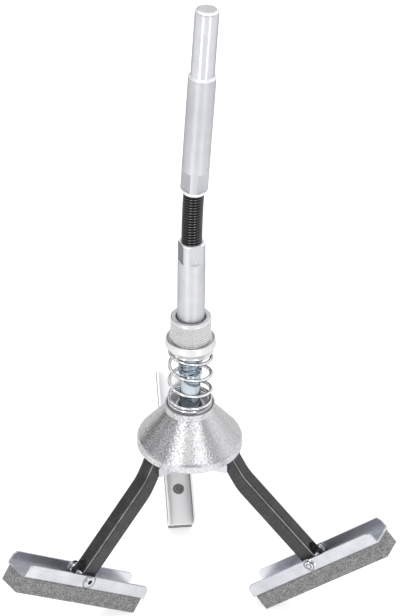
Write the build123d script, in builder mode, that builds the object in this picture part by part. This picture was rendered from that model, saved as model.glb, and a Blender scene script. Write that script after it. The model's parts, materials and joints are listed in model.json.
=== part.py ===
from build123d import *
from math import asin, atan, cos, degrees, radians, sin, sqrt, tan
import os

# Cylinder hone with three sprung arms on a flexible drive shaft, in millimetres.
# +Z runs up the spindle. The origin is on the spindle axis, level with the arm pivots.

os.makedirs("parts", exist_ok=True)

# Clearances
fit_gap = 0.03
running_gap = 0.06
side_gap = 0.25
stop_gap = 0.12
seat_gap = 0.3
same_spot = 0.01

# Legs: where each one points, how far its arm is swung open, and the left stone's tilt
leg_azimuth = {"left": 210.0, "right": 330.0, "back": 90.0}
leg_swing = {"left": 44.6, "right": 41.4, "back": 43.8}
left_stone_tilt = 34.84

# Pressed channel arms
pivot_radius = 15.0
arm_length = 89.2
arm_width = 10.0
arm_sheet = 1.6
arm_corner = 2.2
arm_bend_along = 23.5
arm_bend_height = 6.4
arm_bend_radius = 32.0
arm_top_angle = 17.2
arm_top_depth = 8.6
arm_low_depth = 10.0
arm_pin_cover = 4.4
web_end_back = 5.5
notch_radius = 3.7
notch_depth = 3.6
pivot_boss_radius = 5.2
heel_reach = 5.5
heel_radius = 4.0
shoulder_radius = 3.3
ear_radius = 3.55
ear_back_round = 2.0
ear_back_reach = 1.2
ear_back_rise = 1.25
ear_start_back = 3.0

# Pivot pins and stone rivets
pivot_pin_radius = 2.5
pivot_head_radius = 3.9
pivot_head_height = 1.3
pivot_head_edge = 0.4
rivet_radius = 2.25
rivet_head_radius = 4.2
rivet_head_height = 1.7
rivet_tail_radius = 3.2
rivet_tail_height = 0.9
rivet_tail_hole = 1.5
rivet_hole_depth = 4.0

# Stone holders and stones
holder_length = 101.7
holder_width = 17.2
holder_sheet = 1.2
holder_corner = 1.5
holder_pin_to_web = 3.9
holder_flange_rise = 3.3
flange_end_slope = 0.75
flange_end_round = 3.2
web_hole_radius = 3.5
web_hole_offset = 27.6
stone_length = 100.0
stone_width = 15.2
stone_thickness = 10.5
stone_edge = 0.4
spacer_radius = 3.4

# Pressure dish
rim_radius = 31.0
rim_height = 5.7
dish_wall = 3.0
neck_radius = 14.65
neck_bottom = 25.7
neck_top = 29.7
recess_radius = 11.3
recess_depth = 5.2
boss_radius = 8.5
boss_drop = 1.5
pad_radius = 10.0
dish_floor = 4.0
rim_edge = 0.7
neck_fillet = 0.8

# Yoke under the dish
cheek_thickness = 1.8
cheek_reach = 27.2
cheek_top = -3.2
cheek_bottom = -9.6
cheek_start = 7.4
cheek_foot = 3.0
cheek_shoulder = 2.0
cheek_tip_round = 1.6
hub_radius = 11.2
hub_top = -6.0
hub_thickness = 5.0

# Spindle, washer and end nut
rod_radius = 6.0
thread_radius = 6.95
thread_bottom = 50.0
stud_radius = 4.0
stud_length = 6.5
washer_radius = 8.0
washer_thickness = 1.5
end_nut_flats = 13.0
end_nut_height = 4.0
spigot_radius = 4.8
spigot_length = 20.0
small_chamfer = 0.8

# Knurled nut
nut_flange_bottom = 69.0
nut_flange_widest = 71.6
nut_flange_top = 75.9
nut_top = 90.5
flange_bottom_radius = 13.0
flange_wide_radius = 14.6
flange_top_radius = 14.05
knurl_radius = 11.9
knurl_groove = 0.7
ring_radius = 11.5
ring_height = 2.4
ring_chamfer = 0.9
counterbore_radius = 8.45
counterbore_floor = 83.9

# Tension spring
spring_wire_radius = 1.0
spring_radius = 12.1
spring_end_turns = 1.0
spring_end_pitch = 2.15
spring_middle_turns = 3.5

# Flexible coil between the two sleeves
coil_radius = 5.95
coil_wire = 2.3
coil_valley_depth = 0.69
coil_land = 0.9
coil_bottom = 140.6
coil_top = 172.9
coil_grip = 12.0
core_radius = 3.3
shank_lean = 3.1
shank_lean_azimuth = -6.7

# Lower sleeve
sleeve_radius = 7.85
sleeve_socket_gap = 0.05
socket_point = 2.0
sleeve_flats = 13.3
sleeve_flat_length = 12.5
sleeve_flat_turn = -74.0
sleeve_chamfer = 0.7
dimple_radius = 1.2
dimple_depth = 0.3
dimple_below_top = 10.5
dimple_azimuth = -75.0

# Drive shank
shank_radius = 6.5
shank_body_radius = 7.65
shank_shoulder = 244.7
shank_shoulder_slope = 1.3
shank_top = 284.8
shank_tip_round = 1.7
shank_flats = 13.2
shank_flat_length = 12.0
shank_flat_turn = -56.0
shank_end_chamfer = 1.2

# Values that follow from the sizes above
open_swing = min(leg_swing.values())
closed_most = max(leg_swing.values()) - open_swing
coil_middle = (coil_bottom + coil_top) / 2
sleeve_bottom = counterbore_floor + seat_gap
half_arm = arm_width / 2
cheek_inner = half_arm + side_gap
cheek_outer = cheek_inner + cheek_thickness
flange_inner = holder_width / 2 - holder_sheet
web_outer = holder_pin_to_web + holder_sheet
channel_top = holder_flange_rise + holder_sheet
stone_face = web_outer + stone_thickness
stone_reach = sqrt((stone_length / 2) ** 2 + stone_face**2)
stone_turn = degrees(atan(2 * stone_face / stone_length))
left_drop = stone_reach * sin(radians(left_stone_tilt + stone_turn))
stand_depth = arm_length * sin(radians(leg_swing["left"])) + left_drop
dish_slope = (neck_bottom - rim_height) / (rim_radius - neck_radius)


def radial(azimuth):
    """Unit vector that points out from the spindle at an azimuth in degrees."""
    return Vector(cos(radians(azimuth)), sin(radians(azimuth)), 0)


def leg_plane(azimuth, radius=0.0, height=0.0, turn=0.0):
    """Plane through the spindle axis along one leg, with its local x turned down by an angle."""
    outward = radial(azimuth)
    across = Vector(outward.Y, -outward.X, 0)
    along = outward * cos(radians(turn)) - Vector(0, 0, 1) * sin(radians(turn))
    return Plane(origin=outward * radius + Vector(0, 0, height), x_dir=along, z_dir=across)


def stand_tilt(swing):
    """Tilt that brings the low end of a stone down to the depth that the hone stands at."""
    drop = stand_depth - arm_length * sin(radians(swing))
    return degrees(asin(drop / stone_reach)) - stone_turn


def save(piece, name):
    """Labels a finished piece and writes its STEP file."""
    piece.part.label = name
    export_step(piece.part, f"parts/{name}.step")


# Spindle: spigot, threaded run, plain rod and the stud for the end nut
with BuildPart() as spindle:
    with BuildSketch(Plane.XZ):
        with BuildLine():
            Polyline(
                (0, hub_top - hub_thickness - stud_length),
                (stud_radius - small_chamfer, hub_top - hub_thickness - stud_length),
                (stud_radius, hub_top - hub_thickness - stud_length + small_chamfer),
                (stud_radius, hub_top),
                (rod_radius, hub_top),
                (rod_radius, thread_bottom),
                (thread_radius, thread_bottom + thread_radius - rod_radius),
                (thread_radius, sleeve_bottom - small_chamfer),
                (thread_radius - small_chamfer, sleeve_bottom),
                (spigot_radius, sleeve_bottom),
                (spigot_radius, sleeve_bottom + spigot_length - small_chamfer),
                (spigot_radius - small_chamfer, sleeve_bottom + spigot_length),
                (0, sleeve_bottom + spigot_length),
                close=True,
            )
        make_face()
    revolve(axis=Axis.Z)
save(spindle, "spindle")


# Washer and hexagon nut that hold the yoke on the spindle
washer_top = hub_top - hub_thickness
with BuildPart() as yoke_washer:
    with BuildSketch(Plane.XY.offset(washer_top - washer_thickness)):
        Circle(washer_radius)
        Circle(stud_radius + running_gap, mode=Mode.SUBTRACT)
    extrude(amount=washer_thickness)
save(yoke_washer, "yoke_washer")

end_nut_top = washer_top - washer_thickness
end_nut_bottom = end_nut_top - end_nut_height
with BuildPart() as end_nut:
    with BuildSketch(Plane.XY.offset(end_nut_bottom)):
        RegularPolygon(end_nut_flats / 2, 6, major_radius=False)
    extrude(amount=end_nut_height)
    with BuildSketch(Plane.XZ):
        with BuildLine():
            Polyline(
                (0, end_nut_top),
                (end_nut_flats, end_nut_top),
                (end_nut_flats, end_nut_bottom + end_nut_flats / 2 * tan(radians(30))),
                (end_nut_flats / 2, end_nut_bottom),
                (0, end_nut_bottom),
                close=True,
            )
        make_face()
    revolve(axis=Axis.Z, mode=Mode.INTERSECT)
    with Locations((0, 0, end_nut_top)):
        Cylinder(stud_radius + fit_gap, 3 * end_nut_height, mode=Mode.SUBTRACT)
save(end_nut, "end_nut")

# Yoke: a hub on the stud with a pair of upright cheeks for each arm
with BuildPart() as yoke:
    with BuildSketch(Plane.XY.offset(washer_top)):
        Circle(hub_radius)
    extrude(amount=hub_thickness)
    for azimuth in leg_azimuth.values():
        for side in (1, -1):
            with BuildSketch(leg_plane(azimuth).offset(side * cheek_inner)):
                with BuildLine():
                    Polyline(
                        (cheek_start, washer_top),
                        (cheek_start + cheek_foot, washer_top),
                        (cheek_reach, cheek_bottom),
                        (cheek_reach, cheek_top),
                        (pivot_radius, cheek_top + cheek_shoulder),
                        (cheek_start, cheek_top),
                        close=True,
                    )
                outline = make_face()
                fillet(outline.vertices().group_by(Axis.X)[-1], radius=cheek_tip_round)
                with Locations((pivot_radius, 0)):
                    Circle(pivot_boss_radius)
            extrude(amount=side * cheek_thickness)
        with Locations(leg_plane(azimuth, pivot_radius)):
            Cylinder(pivot_pin_radius + fit_gap, 3 * cheek_outer, mode=Mode.SUBTRACT)
    with BuildSketch(Plane.XY.offset(washer_top)):
        Circle(stud_radius + fit_gap)
    extrude(amount=hub_thickness, mode=Mode.SUBTRACT)
save(yoke, "yoke")

# Pressure dish: a cast cone with a spring seat, a recess and a boss that presses on the arm heels
recess_floor = neck_top - recess_depth
pad_bottom = heel_radius + heel_reach * sin(radians(closed_most)) + stop_gap
under_top = recess_floor - dish_floor
wall_drop = dish_wall * sqrt(1 + dish_slope**2)
slope_inner_radius = rim_radius - (under_top + wall_drop - rim_height) / dish_slope
rim_inner = rim_radius - dish_wall
rim_inner_top = rim_height + dish_wall * dish_slope - wall_drop
with BuildPart() as pressure_dish:
    with BuildSketch(Plane.XZ):
        with BuildLine():
            Polyline(
                (rim_inner, rim_edge),
                (rim_inner + rim_edge, 0),
                (rim_radius - rim_edge, 0),
                (rim_radius, rim_edge),
                (rim_radius, rim_height - rim_edge),
                (rim_radius - rim_edge, rim_height + rim_edge * dish_slope),
                (neck_radius, neck_bottom),
                (neck_radius, neck_top),
                (recess_radius, neck_top),
                (recess_radius, recess_floor),
                (boss_radius, recess_floor),
                (boss_radius, neck_top - boss_drop),
                (rod_radius + seat_gap, neck_top - boss_drop),
                (rod_radius + running_gap, neck_top - boss_drop - small_chamfer),
                (rod_radius + running_gap, pad_bottom),
                (pad_radius, pad_bottom),
                (pad_radius, under_top),
                (slope_inner_radius, under_top),
                (rim_inner, rim_inner_top),
                close=True,
            )
        make_face()
    revolve(axis=Axis.Z)
    seat_edges = pressure_dish.edges().filter_by(GeomType.CIRCLE).filter_by(
        lambda edge: abs(edge.center().Z - neck_bottom) < same_spot
    )
    fillet(seat_edges, radius=neck_fillet)
save(pressure_dish, "pressure_dish")

# Tension spring between the dish and the nut: closed turns at both ends, open ones between.
# Each half turn is a half ring, tilted so that it ends where the next one starts.
spring_start = neck_top + spring_wire_radius + stop_gap
spring_height = nut_flange_bottom - neck_top - 2 * (spring_wire_radius + stop_gap)
end_halves = round(2 * spring_end_turns)
middle_halves = round(2 * spring_middle_turns)
end_rise = spring_end_pitch / 2
middle_rise = (spring_height - 2 * end_halves * end_rise) / middle_halves
half_rises = [end_rise] * end_halves + [middle_rise] * middle_halves + [end_rise] * end_halves
with BuildPart() as tension_spring:
    height_done = spring_start
    side = 1
    for rise in half_rises:
        with BuildSketch(Plane.XZ):
            with Locations((side * spring_radius, height_done)):
                RegularPolygon(spring_wire_radius, 8, major_radius=False, rotation=22.5)
        turn_axis = Axis((0, 0, height_done + rise / 2), (-side * rise / 2, 0, -spring_radius))
        revolve(axis=turn_axis, revolution_arc=180)
        height_done += rise
        side = -side
save(tension_spring, "tension_spring")

# Knurled nut: thread bore, counterbore over the lower sleeve, body for the knurl and a spring flange
with BuildPart() as knurled_nut:
    with BuildSketch(Plane.XZ):
        with BuildLine():
            Polyline(
                (thread_radius + running_gap + small_chamfer, nut_flange_bottom),
                (flange_bottom_radius, nut_flange_bottom),
                (flange_wide_radius, nut_flange_widest),
                (flange_wide_radius, nut_flange_widest + knurl_groove),
                (flange_top_radius, nut_flange_top),
                (knurl_radius - knurl_groove, nut_flange_top),
                (knurl_radius - knurl_groove, nut_flange_top + knurl_groove),
                (knurl_radius, nut_flange_top + 2 * knurl_groove),
                (knurl_radius, nut_top - ring_height),
                (ring_radius, nut_top - ring_height + knurl_radius - ring_radius),
                (ring_radius, nut_top - ring_chamfer),
                (ring_radius - ring_chamfer, nut_top),
                (counterbore_radius + knurl_groove, nut_top),
                (counterbore_radius, nut_top - knurl_groove),
                (counterbore_radius, counterbore_floor),
                (thread_radius + running_gap, counterbore_floor),
                (thread_radius + running_gap, nut_flange_bottom + small_chamfer),
                close=True,
            )
        make_face()
    revolve(axis=Axis.Z)
save(knurled_nut, "knurled_nut")

# Lower sleeve: pressed on the spindle's spigot, with four flats and a stake mark that grip the coil
socket_radius = coil_radius + sleeve_socket_gap
with BuildPart() as lower_sleeve:
    with BuildSketch(Plane.XZ):
        with BuildLine():
            Polyline(
                (spigot_radius + fit_gap, sleeve_bottom),
                (sleeve_radius - sleeve_chamfer, sleeve_bottom),
                (sleeve_radius, sleeve_bottom + sleeve_chamfer),
                (sleeve_radius, coil_bottom - sleeve_chamfer),
                (sleeve_radius - sleeve_chamfer, coil_bottom),
                (socket_radius, coil_bottom),
                (socket_radius, coil_bottom - coil_grip - stop_gap),
                (spigot_radius + fit_gap, coil_bottom - coil_grip - stop_gap - small_chamfer),
                close=True,
            )
        make_face()
    revolve(axis=Axis.Z)
    with Locations(Plane.XY.offset(coil_bottom - sleeve_flat_length / 2)):
        with PolarLocations(sleeve_flats, 4, start_angle=sleeve_flat_turn):
            Box(sleeve_flats, 4 * sleeve_radius, sleeve_flat_length, mode=Mode.SUBTRACT)
    dimple_spot = radial(dimple_azimuth) * (sleeve_flats / 2 - dimple_depth + dimple_radius)
    with Locations(dimple_spot + Vector(0, 0, coil_bottom - dimple_below_top)):
        Sphere(dimple_radius, mode=Mode.SUBTRACT)
save(lower_sleeve, "lower_sleeve")

# The coil and the drive shank lean a little, as the flexible joint rests
coil_centre = (0, 0, coil_middle)


def leaned(angle):
    """Unit vector that leans from straight up by an angle towards the side the shank leans to."""
    return radial(shank_lean_azimuth) * sin(radians(angle)) + Vector(0, 0, cos(radians(angle)))


lean_direction = leaned(shank_lean)
half_lean = leaned(shank_lean / 2)
mitre_plane = Plane(origin=coil_centre, z_dir=half_lean)
half_coil = coil_middle - coil_bottom
ribs_in_half = round(half_coil / coil_wire)
rib_pitch = half_coil / ribs_in_half
valley_radius = coil_radius - coil_valley_depth
rib_slope = (rib_pitch - coil_land) / 2
coil_bore = core_radius + fit_gap

# Flexible coil: close-wound turns between the sleeves and plain ends in their sockets
with BuildPart() as flex_coil:
    with BuildSketch(Plane.XZ):
        with BuildLine():
            Polyline(
                (valley_radius, coil_bottom),
                (coil_radius, coil_bottom),
                (coil_radius, coil_bottom - coil_grip),
                (coil_bore, coil_bottom - coil_grip),
                (coil_bore, coil_middle + rib_pitch),
                (valley_radius, coil_middle + rib_pitch),
            )
            for rib in range(ribs_in_half + 1):
                low = coil_bottom + rib * rib_pitch
                Polyline(
                    (valley_radius, low),
                    (coil_radius, low + rib_slope),
                    (coil_radius, low + rib_pitch - rib_slope),
                    (valley_radius, low + rib_pitch),
                )
        make_face()
    revolve(axis=Axis.Z)
    split(bisect_by=mitre_plane, keep=Keep.BOTTOM)
    mirror(about=mitre_plane)
save(flex_coil, "flex_coil")

# Cable core inside the coil
with BuildPart() as flex_core:
    with BuildSketch(Plane.XY.offset(coil_bottom - coil_grip)):
        Circle(core_radius)
    extrude(amount=coil_grip + half_coil + rib_pitch)
    split(bisect_by=mitre_plane, keep=Keep.BOTTOM)
    mirror(about=mitre_plane)
save(flex_core, "flex_core")

# Drive shank: the round end for a drill chuck and the sleeve below it are one turned piece
shank_side = Vector(0, 1, 0).cross(lean_direction)
shank_base = Plane(origin=coil_centre, x_dir=shank_side, z_dir=lean_direction)
shank_section = Plane(origin=coil_centre, x_dir=shank_side, z_dir=-shank_base.y_dir)
body_bottom = coil_top - coil_middle
shoulder = shank_shoulder - coil_middle
tip = shank_top - coil_middle
with BuildPart() as drive_shank:
    with BuildSketch(shank_section):
        with BuildLine():
            Polyline(
                (0, body_bottom + coil_grip + stop_gap + socket_point),
                (socket_radius, body_bottom + coil_grip + stop_gap),
                (socket_radius, body_bottom),
                (shank_body_radius - shank_end_chamfer, body_bottom),
                (shank_body_radius, body_bottom + 2 * shank_end_chamfer),
                (shank_body_radius, shoulder),
                (shank_radius, shoulder + shank_shoulder_slope),
                (shank_radius, tip),
                (0, tip),
                close=True,
            )
        make_face()
        fillet(vertices().sort_by_distance((shank_radius, tip))[0], radius=shank_tip_round)
    revolve(axis=Axis(coil_centre, lean_direction))
    with Locations(shank_base.offset(body_bottom + 2 * shank_end_chamfer + shank_flat_length / 2)):
        with PolarLocations(shank_flats, 4, start_angle=shank_flat_turn):
            Box(shank_flats, 4 * shank_body_radius, shank_flat_length, mode=Mode.SUBTRACT)
save(drive_shank, "drive_shank")

# Arm outline: the back runs from under the dish rim through one bend to the ears at the pin
top_turn = radians(arm_top_angle)
open_turn = radians(open_swing)
top_run = Vector(cos(top_turn), -sin(top_turn))
top_normal = Vector(sin(top_turn), cos(top_turn))
bend_point = Vector(arm_bend_along, arm_bend_height)
bend_rise = bend_point.X * sin(open_turn) - bend_point.Y * cos(open_turn) - stop_gap
top_point = bend_point - top_run * (bend_rise / sin(open_turn + top_turn))
web_end = Vector(arm_length - web_end_back, arm_pin_cover)
low_run = (web_end - bend_point).normalized()
low_normal = Vector(-low_run.Y, low_run.X)
rim_turn = open_turn + top_turn
shoulder_back = (shoulder_radius - arm_top_depth / 2 * cos(rim_turn)) / sin(rim_turn)
shoulder_point = top_point + top_run * shoulder_back - top_normal * (arm_top_depth / 2)
shoulder_top = shoulder_point + Vector(-sin(open_turn), cos(open_turn)) * shoulder_radius
heel_point = Vector(-cos(open_turn), -sin(open_turn)) * heel_reach


def meet(point, run, other_point, other_run):
    """Point where two lines in the arm's plane cross."""
    across = run.X * other_run.Y - run.Y * other_run.X
    gap = other_point - point
    return point + run * ((gap.X * other_run.Y - gap.Y * other_run.X) / across)


def inner_bend(depth_top, depth_low):
    """Corner of the two lines that run below the arm's back at the given depths."""
    return meet(
        bend_point - top_normal * depth_top, top_run, bend_point - low_normal * depth_low, low_run
    )


edge_bend = inner_bend(arm_top_depth, arm_low_depth)
edge_start = shoulder_point - top_normal * (arm_top_depth / 2)
sheet_bend = inner_bend(arm_sheet, arm_sheet)
ear_corner = Vector(arm_length + ear_back_reach, ear_radius - arm_low_depth + ear_back_rise)
far = 2 * arm_length
notch_centre = web_end.X + notch_radius - notch_depth


def pin_section(centre, along):
    """Plane for a pin's half section: local x is the pin's radius and local y runs along the pin."""
    return Plane(origin=centre, x_dir=(0, 0, 1), z_dir=Vector(0, 0, 1).cross(along))


def edges_at(piece, plane, half_width, test):
    """Edges on both side faces of a piece whose middle passes a test in a plane's own coordinates."""
    chosen = ShapeList()
    for edge in piece.edges():
        spot = plane.to_local_coords(edge @ 0.5)
        if abs(abs(spot.Z) - half_width) < same_spot and test(spot):
            chosen.append(edge)
    return chosen


for leg, azimuth in leg_azimuth.items():
    swing = leg_swing[leg]
    arm_plane = leg_plane(azimuth, pivot_radius, 0, swing)
    across = arm_plane.z_dir
    pivot = arm_plane.origin
    rivet_spot = arm_plane.from_local_coords(Vector(arm_length, 0, 0))
    holder_plane = Plane(
        origin=rivet_spot, x_dir=leg_plane(azimuth, turn=-stand_tilt(swing)).x_dir, z_dir=across
    )

    # Arm: a pressed channel open towards the spindle, with a heel under the dish and two ears
    with BuildPart() as arm:
        with BuildSketch(arm_plane):
            with BuildLine():
                Polyline(
                    top_point,
                    bend_point,
                    web_end,
                    (arm_length, ear_radius),
                    ear_corner,
                    (arm_length - ear_start_back, web_end.Y - arm_low_depth),
                    edge_bend,
                    edge_start,
                    shoulder_top,
                    close=True,
                )
            side = make_face()
            for corner, bend_radius in (
                (bend_point, arm_bend_radius),
                (edge_bend, arm_bend_radius),
                (ear_corner, ear_back_round),
            ):
                fillet(vertices().sort_by_distance(corner)[0], radius=bend_radius)
            with Locations((arm_length, 0)):
                Circle(ear_radius)
        extrude(amount=half_arm, both=True)
        fillet(
            edges_at(
                arm,
                arm_plane,
                half_arm,
                lambda spot: top_point.X < spot.X < web_end.X and spot.Y > bend_point.Y - arm_top_depth / 2,
            ),
            radius=arm_corner,
        )
        for end, end_radius in ((heel_point, heel_radius), (shoulder_point, shoulder_radius)):
            with BuildSketch(arm_plane):
                Circle(pivot_boss_radius)
                with Locations(end):
                    Circle(end_radius)
                make_hull()
            extrude(amount=half_arm, both=True)
        with BuildSketch(arm_plane):
            with BuildLine():
                Polyline(
                    sheet_bend - top_run * far,
                    sheet_bend,
                    meet(sheet_bend, low_run, web_end, Vector(0, 1)),
                    web_end + Vector(0, far),
                    (far, far),
                    (far, -far),
                    sheet_bend - top_run * far - Vector(0, far),
                    close=True,
                )
            make_face()
        extrude(amount=half_arm - arm_sheet, both=True, mode=Mode.SUBTRACT)
        notch_plane = Plane(
            origin=arm_plane.from_local_coords(Vector(notch_centre, 0, 0)), z_dir=arm_plane.y_dir
        )
        with BuildSketch(notch_plane):
            Circle(notch_radius)
        extrude(amount=arm_low_depth, mode=Mode.SUBTRACT)
        with BuildSketch(arm_plane):
            Circle(pivot_pin_radius + running_gap)
            with Locations((arm_length, 0)):
                Circle(rivet_radius + running_gap)
        extrude(amount=arm_width, both=True, mode=Mode.SUBTRACT)
    save(arm, f"arm_{leg}")

    # Pivot pin: through both cheeks and the arm, headed outside the cheeks
    with BuildPart() as pivot_pin:
        with BuildSketch(pin_section(pivot, across)):
            with BuildLine():
                Polyline(
                    (0, -cheek_outer - pivot_head_height),
                    (pivot_head_radius - pivot_head_edge, -cheek_outer - pivot_head_height),
                    (pivot_head_radius, -cheek_outer - pivot_head_height + pivot_head_edge),
                    (pivot_head_radius, -cheek_outer),
                    (pivot_pin_radius, -cheek_outer),
                    (pivot_pin_radius, cheek_outer),
                    (pivot_head_radius, cheek_outer),
                    (pivot_head_radius, cheek_outer + pivot_head_height - pivot_head_edge),
                    (pivot_head_radius - pivot_head_edge, cheek_outer + pivot_head_height),
                    (0, cheek_outer + pivot_head_height),
                    close=True,
                )
            make_face()
        revolve(axis=Axis(pivot, across))
    save(pivot_pin, f"pivot_pin_{leg}")

    # Stone holder: a channel with rounded corners, two holes in its floor and one rivet hole a side
    with BuildPart() as stone_holder:
        with BuildSketch(holder_plane):
            with BuildLine():
                Polyline(
                    (-holder_length / 2, -web_outer),
                    (holder_length / 2, -web_outer),
                    (holder_length / 2 - flange_end_slope, holder_flange_rise),
                    (flange_end_slope - holder_length / 2, holder_flange_rise),
                    close=True,
                )
            side = make_face()
            fillet(side.vertices().group_by(Axis.Y)[-1], radius=flange_end_round)
        extrude(amount=holder_width / 2, both=True)
        fillet(
            edges_at(
                stone_holder,
                holder_plane,
                holder_width / 2,
                lambda spot: spot.Y < -holder_pin_to_web - holder_sheet / 2 and abs(spot.X) < side_gap,
            ),
            radius=holder_corner,
        )
        with BuildSketch(holder_plane):
            with Locations((0, (channel_top - holder_pin_to_web) / 2)):
                Rectangle(2 * holder_length, channel_top + holder_pin_to_web)
        extrude(amount=flange_inner, both=True, mode=Mode.SUBTRACT)
        with BuildSketch(holder_plane):
            Circle(rivet_radius + fit_gap)
        extrude(amount=holder_width, both=True, mode=Mode.SUBTRACT)
        floor_plane = Plane(origin=rivet_spot, x_dir=holder_plane.x_dir, z_dir=-holder_plane.y_dir)
        with BuildSketch(floor_plane):
            with Locations((web_hole_offset, 0), (-web_hole_offset, 0)):
                Circle(web_hole_radius)
        extrude(amount=2 * web_outer, mode=Mode.SUBTRACT)
    save(stone_holder, f"stone_holder_{leg}")

    # Honing stone: a square-edged bar bonded to the holder's floor
    with BuildPart() as honing_stone:
        with BuildSketch(holder_plane):
            with Locations((0, -web_outer - stone_thickness / 2)):
                Rectangle(stone_length, stone_thickness)
        extrude(amount=stone_width / 2, both=True)
        chamfer(honing_stone.edges(), length=stone_edge)
    save(honing_stone, f"honing_stone_{leg}")

    # Holder rivet: a domed head on one side and a hollow rolled tail on the other
    side_face = holder_width / 2
    with BuildPart() as holder_rivet:
        with BuildSketch(pin_section(rivet_spot, across)):
            with BuildLine():
                Polyline(
                    (0, side_face + rivet_head_height),
                    (0, rivet_hole_depth - side_face),
                    (rivet_tail_hole, rivet_hole_depth - side_face),
                    (rivet_tail_hole, -side_face - rivet_tail_height),
                    (rivet_tail_radius - rivet_tail_height / 2, -side_face - rivet_tail_height),
                    (rivet_tail_radius, -side_face - rivet_tail_height / 2),
                    (rivet_tail_radius, -side_face),
                    (rivet_radius, -side_face),
                    (rivet_radius, side_face),
                    (rivet_head_radius, side_face),
                )
                TangentArc(
                    (0, side_face + rivet_head_height), (rivet_head_radius, side_face), tangent=(1, 0)
                )
            make_face()
        revolve(axis=Axis(rivet_spot, across))
    save(holder_rivet, f"holder_rivet_{leg}")

    # Spacer tubes that keep the arm's ears in the middle of the holder
    with BuildPart() as rivet_spacers:
        for direction in (1, -1):
            with BuildSketch(holder_plane.offset(direction * (half_arm + side_gap))):
                Circle(spacer_radius)
                Circle(rivet_radius + running_gap, mode=Mode.SUBTRACT)
            extrude(amount=direction * (flange_inner - half_arm - side_gap))
    save(rivet_spacers, f"rivet_spacers_{leg}")
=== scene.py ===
"""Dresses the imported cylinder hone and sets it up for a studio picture.

Shapes are in millimetres in the part's own frame: +Z runs up the spindle, and the origin is level
with the arm pivots. Each piece is scaled to metres when it is finished. Finishes and lamps are in
metres.
"""

import json
import logging
from collections.abc import Sequence
from dataclasses import dataclass
from enum import Enum
from math import atan2, cos, floor, hypot, pi, radians, sin

import bmesh
import bpy
from mathutils import Matrix, Vector, noise

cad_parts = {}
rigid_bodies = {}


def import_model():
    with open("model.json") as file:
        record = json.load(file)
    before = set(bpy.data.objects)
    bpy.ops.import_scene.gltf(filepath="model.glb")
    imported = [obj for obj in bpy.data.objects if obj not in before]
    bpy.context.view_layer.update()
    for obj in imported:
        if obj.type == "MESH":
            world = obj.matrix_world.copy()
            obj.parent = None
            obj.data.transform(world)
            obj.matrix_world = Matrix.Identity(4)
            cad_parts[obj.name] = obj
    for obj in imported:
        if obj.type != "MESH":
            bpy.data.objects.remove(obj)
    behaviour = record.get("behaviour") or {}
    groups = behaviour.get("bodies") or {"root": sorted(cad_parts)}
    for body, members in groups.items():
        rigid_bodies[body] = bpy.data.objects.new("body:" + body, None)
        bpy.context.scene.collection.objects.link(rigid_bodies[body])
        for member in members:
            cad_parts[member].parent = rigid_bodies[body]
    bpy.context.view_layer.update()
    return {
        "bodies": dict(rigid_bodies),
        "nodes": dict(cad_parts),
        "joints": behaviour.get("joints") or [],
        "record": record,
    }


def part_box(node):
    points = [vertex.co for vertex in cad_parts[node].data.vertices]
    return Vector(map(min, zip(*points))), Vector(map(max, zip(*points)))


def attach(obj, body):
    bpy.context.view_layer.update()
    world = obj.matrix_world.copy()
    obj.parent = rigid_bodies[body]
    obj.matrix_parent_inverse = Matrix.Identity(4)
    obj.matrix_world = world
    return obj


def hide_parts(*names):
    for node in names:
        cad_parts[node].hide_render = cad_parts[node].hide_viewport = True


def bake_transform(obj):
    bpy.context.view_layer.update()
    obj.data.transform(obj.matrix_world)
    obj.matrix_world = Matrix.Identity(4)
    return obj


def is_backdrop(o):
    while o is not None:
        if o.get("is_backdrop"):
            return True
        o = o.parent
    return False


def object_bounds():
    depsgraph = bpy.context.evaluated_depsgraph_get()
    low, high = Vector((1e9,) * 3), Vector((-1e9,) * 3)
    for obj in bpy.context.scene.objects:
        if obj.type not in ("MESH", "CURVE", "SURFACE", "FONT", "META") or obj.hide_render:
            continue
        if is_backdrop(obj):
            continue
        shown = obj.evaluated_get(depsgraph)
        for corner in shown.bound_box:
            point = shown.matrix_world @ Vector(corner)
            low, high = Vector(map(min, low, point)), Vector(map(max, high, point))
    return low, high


MM = 0.001
LEGS = ("left", "right", "back")
Triple = tuple[float, float, float]
Profile = Sequence[tuple[float, float]]

log = logging.getLogger("hone")


def grey(level: float, blue: float = 0.0) -> Triple:
    """Grey of a level, with some more blue where that is given."""
    return (level, level, level + blue)


class Body(Enum):
    """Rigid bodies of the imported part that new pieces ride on."""

    SPINDLE = "spindle_body"
    DISH = "dish"
    SPRING = "spring"
    NUT = "nut"
    FLEX = "flex"
    SHANK = "shank"


@dataclass(frozen=True)
class Grain:
    """What a noise looks like; its scale is one number or one for each axis."""

    scale: float | Triple
    octaves: float
    rough: float


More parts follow.
